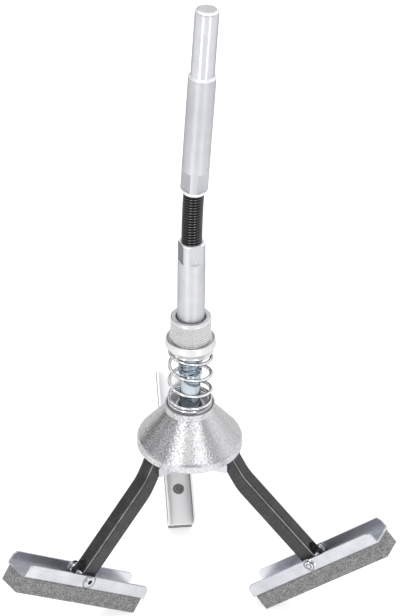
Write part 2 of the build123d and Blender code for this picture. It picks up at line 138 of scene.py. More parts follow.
class Value:
    """A number or a vector that travels through a material's nodes."""

    def __init__(self, graph: "Graph", socket: bpy.types.NodeSocket) -> None:
        """Wraps an output socket of a node in a graph."""
        self.graph = graph
        self.socket = socket

    def __add__(self, other: "Value | float") -> "Value":
        """Sum of two values."""
        return self.graph.math("ADD", self, other)

    def __sub__(self, other: "Value | float") -> "Value":
        """Difference of two values."""
        return self.graph.math("SUBTRACT", self, other)

    def __rsub__(self, other: float) -> "Value":
        """A number less this value."""
        return self.graph.math("SUBTRACT", other, self)

    def __mul__(self, other: "Value | float") -> "Value":
        """Product of two values."""
        return self.graph.math("MULTIPLY", self, other)

    def __abs__(self) -> "Value":
        """This value without its sign."""
        return self.graph.math("ABSOLUTE", self)

    def dot(self, other: Triple) -> "Value":
        """Scalar product of this vector and a fixed one."""
        return self.graph.vector("DOT_PRODUCT", self, other)

    def spread(
        self, low: float, high: float, to_low: float = 0.0, to_high: float = 1.0
    ) -> "Value":
        """Maps a range of this value to another range and stops at its ends."""
        inputs = {0: self, 1: low, 2: high, 3: to_low, 4: to_high}
        return self.graph.out(self.graph.node("ShaderNodeMapRange", inputs, {"clamp": True}))

    def near(self, middle: float, reach: float, full: float) -> "Value":
        """Nearness to a middle: 1 while the distance is below full, 0 from reach on."""
        return abs(self - middle).spread(reach, full)


class Graph:
    """Node tree of one material or of the world."""

    def __init__(self, owner: bpy.types.ID) -> None:
        """Empties the owner's node tree so that it can be built anew.

        Args:
            owner: The material or the world.
        """
        owner.use_nodes = True
        self.tree = owner.node_tree
        self.tree.nodes.clear()

    def node(
        self, kind: str, inputs: dict | None = None, settings: dict | None = None
    ) -> bpy.types.Node:
        """Adds one node: first its settings, then the values or links of its sockets.

        Args:
            kind: The node's type.
            inputs: Values or links by the socket's name or number.
            settings: Attributes of the node.

        Returns:
            The new node.
        """
        made = self.tree.nodes.new(kind)
        for key, setting in (settings or {}).items():
            setattr(made, key, setting)
        for key, value in (inputs or {}).items():
            socket = made.inputs[key]
            if isinstance(value, Value):
                self.tree.links.new(value.socket, socket)
            else:
                socket.default_value = value
        return made

    def out(self, node: bpy.types.Node, name: str | int = 0) -> Value:
        """Wraps an output of a node."""
        return Value(self, node.outputs[name])

    def math(self, operation: str, *terms: Value | float) -> Value:
        """Result of a Math node with an operation on values or numbers."""
        made = self.node("ShaderNodeMath", dict(enumerate(terms)), {"operation": operation})
        return self.out(made)

    def vector(self, operation: str, *terms: Value | Triple) -> Value:
        """Result of a Vector Math node, a number where the operation gives one."""
        made = self.node("ShaderNodeVectorMath", dict(enumerate(terms)), {"operation": operation})
        return self.out(made, 1 if operation in ("LENGTH", "DOT_PRODUCT") else 0)

    def place(self) -> Value:
        """Place on the piece, in metres of the part's own frame."""
        return self.out(self.node("ShaderNodeTexCoord"), "Object")

    def facing(self) -> Value:
        """Direction that the surface faces, in the part's own frame."""
        return self.out(self.node("ShaderNodeTexCoord"), "Normal")

    def rise(self) -> Value:
        """Upward share of the direction that the surface faces, from -1 to 1."""
        return self.split(self.facing())[2]

    def mapped(self, vector: Value, scale: Triple, turn: Triple = (0.0, 0.0, 0.0)) -> Value:
        """Vector stretched along each axis and turned, in radians."""
        inputs = {"Vector": vector, "Scale": scale, "Rotation": turn}
        return self.out(self.node("ShaderNodeMapping", inputs))

    def split(self, vector: Value) -> tuple[Value, Value, Value]:
        """Components of a vector."""
        made = self.node("ShaderNodeSeparateXYZ", {0: vector})
        return self.out(made, 0), self.out(made, 1), self.out(made, 2)

    def join(self, x: Value, y: Value, z: Value) -> Value:
        """Vector of three components."""
        return self.out(self.node("ShaderNodeCombineXYZ", {0: x, 1: y, 2: z}))

    def off_axis(self, x: Value, y: Value) -> Value:
        """Distance from the spindle axis."""
        return self.math("SQRT", x * x + y * y)

    def noise(self, vector: Value, grain: Grain) -> Value:
        """Noise between 0 and 1.

        Args:
            vector: Where the noise is read.
            grain: What it looks like.

        Returns:
            The noise's value.
        """
        scale = grain.scale
        if isinstance(scale, tuple):
            vector, scale = self.mapped(vector, scale), 1.0
        inputs = {"Vector": vector, "Scale": scale}
        inputs.update({"Detail": grain.octaves, "Roughness": grain.rough})
        return self.out(self.node("ShaderNodeTexNoise", inputs))

    def cells(self, vector: Value, scale: float) -> bpy.types.Node:
        """Cell pattern of a scale, as of grains packed together."""
        return self.node("ShaderNodeTexVoronoi", {"Vector": vector, "Scale": scale})

    def mix(self, factor: Value, first: Triple | Value, second: Triple | Value) -> Value:
        """Mixes two colours.

        Args:
            factor: Share of the second colour.
            first: A colour of three numbers, or a link.
            second: A colour of three numbers, or a link.

        Returns:
            The mixed colour.
        """
        ends = [c if isinstance(c, Value) else (*c, 1.0) for c in (first, second)]
        inputs = {0: factor, 6: ends[0], 7: ends[1]}
        return self.out(self.node("ShaderNodeMix", inputs, {"data_type": "RGBA"}), 2)

    def bands(self, value: Value, bands: tuple[Triple, ...]) -> Value:
        """Turns a value into bands of grey, the brighter ones a trace bluer.

        Args:
            value: The value.
            bands: Start, end and level of each band.

        Returns:
            The colour.
        """
        made = self.node("ShaderNodeValToRGB", {0: value})
        elements = made.color_ramp.elements
        stops = []
        for start, end, level in bands:
            stops += [(place, level) for place in sorted({start, end})]
        while len(elements) < len(stops):
            elements.new(1.0)
        for element, (position, level) in zip(elements, stops):
            element.position = position
            element.color = (*grey(level, 0.01 if level > 0.2 else 0.0), 1.0)
        return self.out(made)

    def bump(self, height: Value, depth: float, strength: float) -> Value:
        """Normal bent by a height from 0 to 1, where 1 stands for a depth in metres."""
        inputs = {"Height": height, "Distance": depth, "Strength": strength}
        return self.out(self.node("ShaderNodeBump", inputs))

    def shade(self, inputs: dict) -> None:
        """Ends a material's graph with its shader and the values or links of its sockets."""
        shader = self.out(self.node("ShaderNodeBsdfPrincipled", inputs))
        self.node("ShaderNodeOutputMaterial", {"Surface": shader})


@dataclass(frozen=True)
class Finish:
    """Base of every finish: names the material and holds its plain numbers."""

    name: str
    metallic: float = 1.0
    roughness: float = 0.3
    anisotropic: float = 0.0
    coat: float = 0.0
    edge_tint: float = 1.0

    def material(self) -> bpy.types.Material:
        """Builds the material once and hands out the same one afterwards."""
        found = bpy.data.materials.get(self.name)
        if found:
            return found
        made = bpy.data.materials.new(self.name)
        graph = Graph(made)
        inputs = {
            "Metallic": self.metallic,
            "Roughness": self.roughness,
            "Anisotropic": self.anisotropic,
            "Anisotropic Rotation": 0.25 if self.anisotropic else 0.0,
            "Coat Weight": self.coat,
            "Coat Roughness": 0.2,
            "Specular Tint": (*grey(self.edge_tint), 1.0),
        }
        inputs.update(self.surface(graph, graph.place()))
        graph.shade(inputs)
        return made

    def surface(self, graph: Graph, place: Value) -> dict:
        """Values that change over the surface, by the shader's socket names."""
        raise NotImplementedError

    def uneven(self, value: Value, low: float, high: float, less: float, more: float) -> Value:
        """Roughness that goes with a value, from less to more than the finish's own."""
        return value.spread(low, high, self.roughness - less, self.roughness + more)


@dataclass(frozen=True)
class TurnedSteel(Finish):
    """Bright steel turned on a lathe: fine rings round the axis and a faint unevenness.

    Attributes:
        flats: Azimuth, lowest and highest place and darkness of the painted shade on each flat.
        polish: Roughness that the polish above polish_from takes off.
    """

    edge_tint: float = 0.35
    tone: Triple = (0.66, 0.665, 0.685)
    shade: Triple = (0.56, 0.57, 0.60)
    chamfer_highlight: Triple = grey(0.95, 0.01)
    scuffed: Triple = grey(0.42, 0.02)
    flat_shade: Triple = (0.20, 0.205, 0.215)
    chamfer_highlight_share: float = 1.0
    flats: tuple[tuple[float, float, float, float], ...] = ()
    lean: float = 0.0
    polish_from: float = 10.0
    polish: float = 0.0
    end_height: float = 0.280
    rings: Grain = Grain((30.0, 30.0, 5200.0), 3.0, 0.6)
    clouds: Grain = Grain(70.0, 4.0, 0.6)
    scuffs: Grain = Grain((900.0, 900.0, 160.0), 3.0, 0.7)

    def surface(self, graph: Graph, place: Value) -> dict:
        """Rings, cloudy tone, a painted highlight on the chamfers and gloss that rises on the
        chucked end.
        """
        upright = graph.mapped(place, (1.0, 1.0, 1.0), (0.0, self.lean, 0.0))
        rings = graph.noise(upright, self.rings)
        clouds = graph.noise(place, self.clouds)
        worn = graph.noise(place, self.scuffs).spread(0.62, 0.75)
        height, rise = graph.split(place)[2], graph.rise()
        # Faces that slope up or down, the chamfers above all, get a painted highlight: paler and
        # less metallic. The top end face gets half of it.
        end_face = rise.spread(0.95, 0.98) * height.spread(self.end_height, self.end_height + MM)
        chamfer = abs(rise).spread(0.2, 0.4) * (1.0 - end_face * 0.5) * self.chamfer_highlight_share
        tint = graph.mix(clouds.spread(0.3, 0.75), self.tone, self.shade)
        tint = graph.mix(chamfer, tint, self.chamfer_highlight)
        facing = graph.facing()
        # Each flat is darkened by its own amount: painted shade.
        for azimuth, low, high, amount in self.flats:
            aim = (cos(radians(azimuth)), sin(radians(azimuth)), 0.0)
            reach = height.spread(low, low + MM) * height.spread(high + MM, high)
            level = facing.dot(aim).spread(0.990, 0.996)
            tint = graph.mix(level * reach * amount, tint, self.flat_shade)
        start = self.polish_from
        polished = height.spread(start, start + 0.8 * MM, 0.0, self.polish)
        gloss = self.uneven(rings, 0.2, 0.8, 0.05, 0.07)
        return {
            "Base Color": graph.mix(worn * 0.35, tint, self.scuffed),
            "Metallic": 1.0 - chamfer * 0.6,
            "Roughness": gloss + worn * 0.08 - polished,
            "Normal": graph.bump(rings, 0.012 * MM, 0.6),
        }


@dataclass(frozen=True)
class CastDish(Finish):
    """Cast and tumbled metal with a mottled skin and brushed rays down the cone.

    Attributes:
        painted_shade_rings: Radius and half width of the rings of painted shade on the spring's
            seat, where the spring and the rod meet it.
    """

    edge_tint: float = 0.6
    tone: Triple = grey(0.69, 0.01)
    shade: Triple = grey(0.26, 0.01)
    seat_tone: Triple = grey(0.92, 0.01)
    painted_shade: Triple = grey(0.03, 0.002)
    seat_radius: float = 0.0144
    seat_height: float = 0.020
    shaded_side_reach: float = 0.012
    painted_shade_rings: tuple[tuple[float, float], ...] = ((0.01345, 0.0007), (0.0064, 0.0012))
    rays: Grain = Grain(1.0, 4.0, 0.65)
    mottle: Grain = Grain(980.0, 3.0, 0.6)
    grain: Grain = Grain(2400.0, 2.0, 0.6)
    patches: Grain = Grain(75.0, 3.0, 0.6)
    pit_scale: float = 1100.0

    def surface(self, graph: Graph, place: Value) -> dict:
        """Mottling, rays and small pits, painted shade that deepens the speckle towards -x, and
        the pale bare seat of the spring with rings of painted shade where the spring and the rod
        meet it.
        """
        x, y, z = graph.split(place)
        angle = graph.math("ARCTAN2", y, x)
        radius = graph.off_axis(x, y)
        rays = graph.noise(graph.join(angle * 14.0, radius * 90.0, z * 40.0), self.rays)
        mottle = graph.noise(place, self.mottle)
        grain = graph.noise(place, self.grain)
        pits = graph.out(graph.cells(place, self.pit_scale))
        patches = graph.noise(place, self.patches).spread(0.35, 0.65, 0.45, 1.0)
        # The dark speckle grows towards -x: painted shade on that side of the cone, over a mottle
        # that is the skin's own.
        side = x.spread(self.shaded_side_reach, -self.shaded_side_reach, 0.45, 1.0)
        speckle = mottle.spread(0.50, 0.62) * (patches * side)
        tint = graph.mix(speckle * 0.9, self.tone, self.shade)
        rayed = graph.mix(rays.spread(0.45, 0.75) * 0.2, tint, self.shade)
        inside = radius.spread(self.seat_radius, self.seat_radius - 0.2 * MM)
        seat = inside * z.spread(self.seat_height, self.seat_height + MM)
        seated = self.seat_tone
        # Rings of painted shade where the spring and the rod meet the seat.
        for middle, half in self.painted_shade_rings:
            seated = graph.mix(radius.near(middle, half, half * 0.4) * 0.9, seated, self.painted_shade)
        relief = mottle * 0.45 + grain * 0.35 + pits * 0.2
        return {
            "Base Color": graph.mix(seat, rayed, seated),
            "Metallic": 1.0 - seat * 0.8,
            "Roughness": self.uneven(mottle, 0.3, 0.75, 0.08, 0.14) + seat * 0.15,
            "Normal": graph.bump(relief, 0.30 * MM, 0.75),
        }


@dataclass(frozen=True)
class SheetZinc(Finish):
    """Zinc plating on rolled sheet: soft clouds, fine drawn lines and small scuffs.

    Attributes:
        centre: A point on the axis of the piece's rivet.
        across: Direction of that axis.
        rings: Side, radius and half width of the rings of painted shade round the rivet.
        shade_lines: How dark the painted shade under a wire and the painted dark reflection along
            its top are.
        painted_light_side: Side of the flange that gets painted light, a paler tone, 0 for none.
        drawn: Direction that the sheet was rolled in.
    """

    edge_tint: float = 0.6
    tone: Triple = (0.70, 0.71, 0.745)
    shade: Triple = (0.60, 0.615, 0.655)
    scuffed: Triple = (0.45, 0.47, 0.51)
    pale: Triple = (0.76, 0.775, 0.81)
    painted_shade: Triple = grey(0.05, 0.005)
    relief: float = 0.04 * MM
    centre: Triple = (0.0, 0.0, 0.0)
    across: Triple = (1.0, 0.0, 0.0)
    rings: tuple[Triple, ...] = ()
    side_shade: Triple | None = None
    shade_lines: float = 0.0
    painted_light_side: float = 0.0
    drawn: Triple | None = None
    clouds: Grain = Grain(95.0, 4.0, 0.6)
    scuffs: Grain = Grain(330.0, 5.0, 0.7)
    plain_lay: Grain = Grain((700.0, 700.0, 700.0), 3.0, 0.65)
    drawn_lay: Grain = Grain((1300.0, 1300.0, 1300.0), 3.0, 0.65)

    def ringed(self, graph: Graph, place: Value, tint: Value) -> Value:
        """Lays thin rings of painted shade round a rivet, and painted light on one side of a
        flange.

        Args:
            graph: The material's graph.
            place: Place on the piece.
            tint: The colour under them.

        Returns:
            The colour with them.
        """
        offset = graph.vector("SUBTRACT", place, self.centre)
        radius = graph.vector("LENGTH", graph.vector("CROSS_PRODUCT", offset, self.across))
        side = offset.dot(self.across)
        # One flange is painted paler: painted light on that side.
        if self.painted_light_side:
            far = (side * self.painted_light_side).spread(2 * MM, 3 * MM)
            tint = graph.mix(far, tint, self.pale)
        # Rings of painted shade round the rivet, where it meets the sheet and in its hollow end.
        for side_sign, middle, half in self.rings:
            here = (side * side_sign).spread(0.0, MM)
            ring = radius.near(middle, half, half * 0.5)
            tint = graph.mix(ring * here * 0.85, tint, self.painted_shade)
        return tint

    def surface(self, graph: Graph, place: Value) -> dict:
        """Clouds, drawn lines and scuffs, with painted shade on faces that point along the
        rivet's axis and along a wire where those are given.
        """
        clouds = graph.noise(place, self.clouds)
        marks = graph.noise(place, self.scuffs).spread(0.58, 0.72)
        tint = graph.mix(clouds.spread(0.3, 0.72), self.tone, self.shade)
        if self.drawn:
            along = place.dot(self.drawn) * 0.96
            run = graph.join(*(along * part for part in self.drawn))
            fine = graph.noise(graph.vector("SUBTRACT", place, run), self.drawn_lay)
            tint = graph.mix(fine.spread(0.42, 0.7) * 0.4, tint, self.shade)
        else:
            fine = graph.noise(place, self.plain_lay)
        tint = graph.mix(marks * 0.15, tint, self.scuffed)
        if self.side_shade:
            # Faces that point along the rivet's axis, the flanges, are darkened: painted shade.
            sideways = abs(graph.facing().dot(self.across))
            tint = graph.mix(sideways.spread(0.5, 0.9), tint, self.side_shade)
        if self.shade_lines:
            # Painted shade under the wire and a painted dark reflection along its top.
            rise = graph.rise()
            tint = graph.mix(rise.spread(0.08, -0.12) * self.shade_lines, tint, self.painted_shade)
            tint = graph.mix(rise.spread(0.94, 0.99) * (self.shade_lines * 0.7), tint, self.painted_shade)
        return {
            "Base Color": self.ringed(graph, place, tint),
            "Roughness": self.uneven(fine, 0.25, 0.75, 0.06, 0.1),
            "Normal": graph.bump(clouds * 0.7 + fine * 0.3, self.relief, 0.35),
        }


@dataclass(frozen=True)
class KnurledAluminium(Finish):
    """Machined aluminium, with painted shade in the grooves where a knurl is pressed."""

    edge_tint: float = 0.7
    tone: Triple = grey(0.76, -0.005)
    shade: Triple = grey(0.69)
    painted_shade: Triple = grey(0.14)
    groove_floor: float = 0.0
    groove_top: float = 0.0
    clouds: Grain = Grain(160.0, 3.0, 0.6)
    grain: Grain = Grain(2600.0, 2.0, 0.5)

    def surface(self, graph: Graph, place: Value) -> dict:
        """Tone and gloss with a fine grain, and painted shade where grooves lie below the crests.
        """
        grain = graph.noise(place, self.grain)
        clouds = graph.noise(place, self.clouds)
        tint = graph.mix(clouds.spread(0.3, 0.7), self.tone, self.shade)
        if self.groove_top:
            x, y, _ = graph.split(place)
            # Grooves below the crests are darkened: painted shade.
            deep = graph.off_axis(x, y).spread(self.groove_top, self.groove_floor)
            tint = graph.mix(deep * 0.62, tint, self.painted_shade)
        return {
            "Base Color": tint,
            "Roughness": self.uneven(grain, 0.3, 0.7, 0.04, 0.08),
            "Normal": graph.bump(grain, 0.03 * MM, 0.4),
        }


@dataclass(frozen=True)
class Enamel(Finish):
    """Dark satin enamel with an orange-peel skin, with worn paint and a painted highlight where
    it faces partly across.
    """

    tone: Triple = grey(0.011, 0.001)
    lighter_tone: Triple = grey(0.07, 0.002)
    dusty: Triple = grey(0.15)
    bend_wear_and_highlight: Triple = grey(0.34)
    across: Triple = (1.0, 0.0, 0.0)
    bend_facing: float = 0.70
    peel: Grain = Grain(900.0, 2.0, 0.5)
    clouds: Grain = Grain(110.0, 4.0, 0.65)
    dust: Grain = Grain(1700.0, 3.0, 0.65)

    def surface(self, graph: Graph, place: Value) -> dict:
        """Skin, dust, worn patches, and worn paint with a painted highlight along the channel's
        bends.
        """
        clouds = graph.noise(place, self.clouds)
        specks = graph.noise(place, self.dust).spread(0.53, 0.72)
        tint = graph.mix(clouds.spread(0.45, 0.8) * 0.5, self.tone, self.lighter_tone)
        tint = graph.mix(specks * 0.6, tint, self.dusty)
        # Along the bends the paint is paler: partly worn paint, partly a painted highlight.
        on_bend = abs(graph.facing().dot(self.across)).near(self.bend_facing, 0.13, 0.03)
        wear_and_highlight = on_bend * clouds.spread(0.35, 0.6, 0.35, 1.0)
        return {
            "Base Color": graph.mix(wear_and_highlight, tint, self.bend_wear_and_highlight),
            "Roughness": self.uneven(clouds, 0.3, 0.7, 0.05, 0.09),
            "Normal": graph.bump(graph.noise(place, self.peel), 0.08 * MM, 0.35),
        }


@dataclass(frozen=True)
class BlackWire(Finish):
    """Black oxide on coiled wire, with a painted highlight on the upper half of each turn."""

    tone: Triple = grey(0.007, 0.001)
    lighter_tone: Triple = grey(0.145, 0.005)
    clouds: Grain = Grain(420.0, 4.0, 0.6)

    def surface(self, graph: Graph, place: Value) -> dict:
        """Oxide, with a painted highlight on the upper half of each turn."""
        clouds = graph.noise(place, self.clouds)
        # The upper half of each turn is painted lighter: a painted highlight.
        top_highlight = graph.rise().spread(0.2, 0.6) * clouds.spread(0.2, 0.6, 0.7, 1.0)
        return {
            "Base Color": graph.mix(top_highlight, self.tone, self.lighter_tone),
            "Roughness": self.uneven(clouds, 0.3, 0.7, 0.06, 0.1),
            "Normal": graph.bump(clouds, 0.04 * MM, 0.3),
        }


@dataclass(frozen=True)
class Grit(Finish):
    """Bonded abrasive: dark and pale grains in a grey bond, open pores between them."""

    bond: Triple = grey(0.185)
    dark: Triple = grey(0.045, 0.001)
    pale: Triple = grey(0.55, -0.01)
    grain_scale: float = 2500.0
    fine: Grain = Grain(4000.0, 3.0, 0.7)
    patches: Grain = Grain(240.0, 3.0, 0.6)

    def surface(self, graph: Graph, place: Value) -> dict:
        """Grains of two sizes and pores."""
        coarse = graph.cells(place, self.grain_scale)
        grain_tone = graph.split(graph.out(coarse, 1))[0]
        fine = graph.noise(place, self.fine)
        patches = graph.noise(place, self.patches).spread(0.3, 0.7)
        mixed = graph.mix(patches * 0.35, self.bond, self.pale)
        mixed = graph.mix(grain_tone.spread(0.72, 0.86) * 0.6, mixed, self.pale)
        mixed = graph.mix(grain_tone.spread(0.34, 0.18) * 0.75, mixed, self.dark)
        mixed = graph.mix(fine.spread(0.5, 0.7) * 0.4, mixed, self.dark)
        relief = graph.out(coarse) * 0.6 + fine * 0.4
        return {"Base Color": mixed, "Normal": graph.bump(relief, 0.45 * MM, 0.7)}


SHANK_LEAN = radians(3.1)
SHANK_STEEL = TurnedSteel(
    "turned_shank",
    roughness=0.50,
    anisotropic=0.4,
    lean=SHANK_LEAN,
    polish_from=0.2446,
    polish=0.26,
    # The flats' darkness is painted shade, much deeper on one flat than on the other.
    flats=((-146.0, 0.172, 0.1865, 0.24), (-56.0, 0.172, 0.1865, 0.07)),
)
SLEEVE_STEEL = TurnedSteel(
    "turned_sleeve",
    roughness=0.46,
    anisotropic=0.3,
    # The flats' darkness is painted shade, much deeper on one flat than on the other.
    flats=((-164.0, 0.127, 0.141, 0.68), (-74.0, 0.127, 0.141, 0.12)),
)
THREAD_STEEL = TurnedSteel(
    "cut_thread",
    roughness=0.14,
    tone=(0.58, 0.64, 0.69),
    shade=(0.38, 0.44, 0.50),
    chamfer_highlight_share=0.0,
)
DISH_CAST = CastDish("cast_skin", roughness=0.22, anisotropic=0.5)
SPRING_ZINC = SheetZinc(
    "plated_wire",
    metallic=0.88,
    roughness=0.09,
    tone=(0.97, 0.98, 0.99),
    shade=(0.86, 0.87, 0.90),
    edge_tint=0.0,
    # The wire's dark lines are painted shade and painted reflection.
    shade_lines=0.97,
)
YOKE_ZINC = SheetZinc("plated_yoke", roughness=0.30)
PIN_ZINC = SheetZinc("plated_pin", roughness=0.18, tone=(0.62, 0.63, 0.66))
NUT_ALUMINIUM = KnurledAluminium("machined_aluminium", roughness=0.36)
KNURL_ALUMINIUM = KnurledAluminium(
    "knurled_aluminium",
    metallic=0.5,
    roughness=0.42,
    tone=grey(0.97, -0.01),
    shade=grey(0.91),
    groove_floor=0.01158,
    groove_top=0.01176,
)
COIL_BLACK = BlackWire("blackened_wire", metallic=0.9, roughness=0.085)
STONE_GRIT = Grit("bonded_grit", metallic=0.0, roughness=0.92)
ARM_ACROSS = {"left": (0.5, -0.866, 0.0), "right": (0.5, 0.866, 0.0), "back": (1.0, 0.0, 0.0)}
CAD_FINISHES = {
    "drive_shank": SHANK_STEEL,
    "lower_sleeve": SLEEVE_STEEL,
    "pressure_dish": DISH_CAST,
    "yoke": YOKE_ZINC,
    "yoke_washer": YOKE_ZINC,
    "end_nut": YOKE_ZINC,
}


def stand(name: str, data: bpy.types.ID) -> bpy.types.Object:
    """Adds an object to the scene.

    Args:
        name: The object's name.
        data: Its mesh, lamp or lens.

    Returns:
        The new object.
    """
    made = bpy.data.objects.new(name, data)
    bpy.context.scene.collection.objects.link(made)
    return made


class Blank:
    """A bmesh in millimetres that is shaped by operators and then made a piece."""

    def __init__(self) -> None:
        """Starts an empty mesh."""
        self.work = bmesh.new()

    @property
    def corners(self) -> list[bmesh.types.BMVert]:
        """All corners of the mesh."""
        return self.work.verts[:]

    def chain(self, points: Profile, closed: bool = False) -> list:
        """Lays a chain of edges in the plane of the spindle axis.

        Args:
            points: Radius and height of each point.
            closed: Whether the last point joins the first.

        Returns:
            The new corners and edges.
        """
        corners = [self.work.verts.new((r, 0.0, z)) for r, z in points]
        pairs = list(zip(corners, corners[1:]))
        if closed:
            pairs.append((corners[-1], corners[0]))
        return corners + [self.work.edges.new(pair) for pair in pairs]

    def ring(self, radius: float, reach: float, height: float, sides: int) -> list:
        """Lays the round section of a wire in the plane of the spindle axis.

        Args:
            radius: The wire's radius.
            reach: Distance of its centre from the axis.
            height: Height of its centre.
            sides: How many sides the section has.

        Returns:
            The new corners and edges.
        """
        turns = [2 * pi * side / sides for side in range(sides)]
        points = [(reach + radius * cos(t), height + radius * sin(t)) for t in turns]
        return self.chain(points, closed=True)

    def spin(self, geometry: list, turns: float, rise: float, steps: int) -> list:
        """Spins geometry round the spindle axis, with a rise where a helix is wanted.

        Args:
            geometry: Corners and edges to spin.
            turns: How many turns, negative for clockwise seen from above.
            rise: Height gained over all the turns.
            steps: How many steps the turns are divided into.

        Returns:
            The geometry at the end of the spin.
        """
        made = bmesh.ops.spin(
            self.work,
            geom=geometry,
            cent=(0.0, 0.0, 0.0),
            axis=(0.0, 0.0, 1.0),
            dvec=(0.0, 0.0, rise / steps),
            angle=2 * pi * turns,
            steps=steps,
            use_merge=abs(turns) == 1 and rise == 0,
        )
        return made["geom_last"]

    def turn_up(self, points: Profile, steps: int, closed: bool = False) -> None:
        """Turns a profile of radii and heights through one full turn."""
        self.spin(self.chain(points, closed), 1.0, 0.0, steps)

    def rotate(self, angle: float, axis: str) -> None:
        """Turns the mesh about an axis of the frame."""
        bmesh.ops.rotate(self.work, verts=self.corners, matrix=Matrix.Rotation(angle, 3, axis))

    def cap(self) -> None:
        """Closes every open edge loop with a face."""
        rim = [edge for edge in self.work.edges if edge.is_boundary]
        bmesh.ops.holes_fill(self.work, edges=rim, sides=0)

    def cut(self, height: float, keep_above: bool) -> None:
        """Cuts the mesh level and drops one side.

        Args:
            height: Height of the cut.
            keep_above: Whether the upper side stays.
        """
        bmesh.ops.bisect_plane(
            self.work,
            geom=self.corners + self.work.edges[:] + self.work.faces[:],
            plane_co=(0.0, 0.0, height),
            plane_no=(0.0, 0.0, 1.0),
            clear_inner=keep_above,
            clear_outer=not keep_above,
        )

    def weld(self, reach: float = 0.002) -> None:
        """Merges corners that lie on each other."""
        bmesh.ops.remove_doubles(self.work, verts=self.corners, dist=reach)

    def piece(
        self, name: str, finish: Finish, slot: str, sharp: float = 35.0
    ) -> bpy.types.Object:
        """Makes the mesh a finished object in metres.

        Args:
            name: The piece's name.
            finish: Its finish.
            slot: Not used.
            sharp: Angle in degrees above which an edge stays sharp.

        Returns:
            The new object.
        """
        self.weld()
        bmesh.ops.recalc_face_normals(self.work, faces=self.work.faces[:])
        bmesh.ops.scale(self.work, vec=(MM, MM, MM), verts=self.corners)
        mesh = bpy.data.meshes.new(name)
        self.work.to_mesh(mesh)
        self.work.free()
        mesh.shade_smooth()
        mesh.set_sharp_from_angle(angle=radians(sharp))
        mesh.materials.append(finish.material())
        made = stand(name, mesh)
        log.info("%s: %d faces", name, len(mesh.polygons))
        return made


def off_axis(corner: bmesh.types.BMVert) -> float:
    """Distance of a corner from the spindle axis."""
    return hypot(corner.co.x, corner.co.y)


def draw_in(corner: bmesh.types.BMVert, radius: float) -> None:
    """Moves a corner level to a radius round the spindle axis."""
    factor = radius / off_axis(corner)
    corner.co.x *= factor
    corner.co.y *= factor


def box_mm(node: str) -> tuple[Vector, Vector]:
    """Lowest and highest corners of a CAD node, in millimetres."""
    low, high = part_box(node)
    return low / MM, high / MM


def dress(nodes: dict[str, bpy.types.Object], name: str, finish: Finish) -> None:
    """Gives the CAD node of a name a finish."""
    for slot in nodes[name].material_slots:
        slot.material = finish.material()


@dataclass
class DriveEnd:
    """Flexible coil between the drive shank and the lower sleeve, and its core."""

    coil_bottom: float = 140.6
    coil_top: float = 172.9
    grip: float = 12.0
    coil_radius: float = 5.95
    wire_radius: float = 0.87
    wire_sides: int = 12
    steps_per_turn: int = 40
    core_radius: float = 4.1
    core_sides: int = 24
    core_rings: int = 12
    lean: float = SHANK_LEAN
    lean_azimuth: float = radians(-6.7)
    lower_hinge: float = 150.0
    upper_hinge: float = 163.0
    hinge_reach: float = 5.5

    def bend(self, blank: Blank) -> None:
        """Bends a straight coil along the arc that carries the shank's lean.

        Args:
            blank: The straight mesh.
        """
        span = self.coil_top - self.coil_bottom
        bend_radius = span / self.lean
        side = Vector((cos(self.lean_azimuth), sin(self.lean_azimuth), 0.0))
        for corner in blank.corners:
            along = corner.co.z - self.coil_bottom
            turn = self.lean * min(max(along / span, 0.0), 1.0)
            past = max(along - span, 0.0)
            outward = corner.co.dot(side)
            across = corner.co - side * outward
            centre = bend_radius * (1 - cos(turn)) + past * sin(turn)
            height = self.coil_bottom + min(along, 0.0) + bend_radius * sin(turn)
            height += past * cos(turn) - outward * sin(turn)
            level = Vector((across.x, across.y, 0.0)) + side * (centre + outward * cos(turn))
            corner.co = level + Vector((0.0, 0.0, height))

    def wire(self, low: float, high: float) -> Blank:
        """Winds a straight length of the coil.

        Args:
            low: Height where the length starts.
            high: Height where it ends.

        Returns:
            The length.
        """
        made = Blank()
        pitch = 2 * self.wire_radius
        turns = (high - low) / pitch
        centre = self.coil_radius - self.wire_radius
        section = made.ring(self.wire_radius, centre, low, self.wire_sides)
        made.spin(section, turns, high - low, round(turns * self.steps_per_turn))
        made.rotate(2 * pi * (low - self.coil_bottom + self.grip) / pitch, "Z")
        made.cap()
        return made

    def core(self, low: float, high: float) -> Blank:
        """Turns a straight length of the core.

        Args:
            low: Height where the length starts.
            high: Height where it ends.

        Returns:
            The length.
        """
        made = Blank()
        heights = [low + (high - low) * n / self.core_rings for n in range(self.core_rings + 1)]
        rings = [(self.core_radius, height) for height in heights]
        made.turn_up([(0.0, low), *rings, (0.0, high)], self.core_sides)
        return made

    def build(self) -> None:
        """Builds the coil and the core as two lengths each."""
        middle = (self.coil_bottom + self.coil_top) / 2
        ends = (self.coil_bottom - self.grip, middle, self.coil_top + self.grip)
        hinges = (
            (self.lower_hinge, Body.SPINDLE, Body.FLEX),
            (self.upper_hinge, Body.FLEX, Body.SHANK),
        )
        lengths = zip(ends, ends[1:], hinges)
        for number, (low, high, (hinge, before, after)) in enumerate(lengths, 1):
            for blank, kind, slot in (
                (self.wire(low, high), "coil", "black_coil"),
                (self.core(low, high), "core", "core_cable"),
            ):
                self.bend(blank)
                made = blank.piece(f"flex_{kind}_{number}", COIL_BLACK, slot)
                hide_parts(f"flex_{kind}")
                low_point = Vector((0.0, 0.0, (hinge - self.hinge_reach) * MM))
                high_point = Vector((0.0, 0.0, (hinge + self.hinge_reach) * MM))
                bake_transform(made)


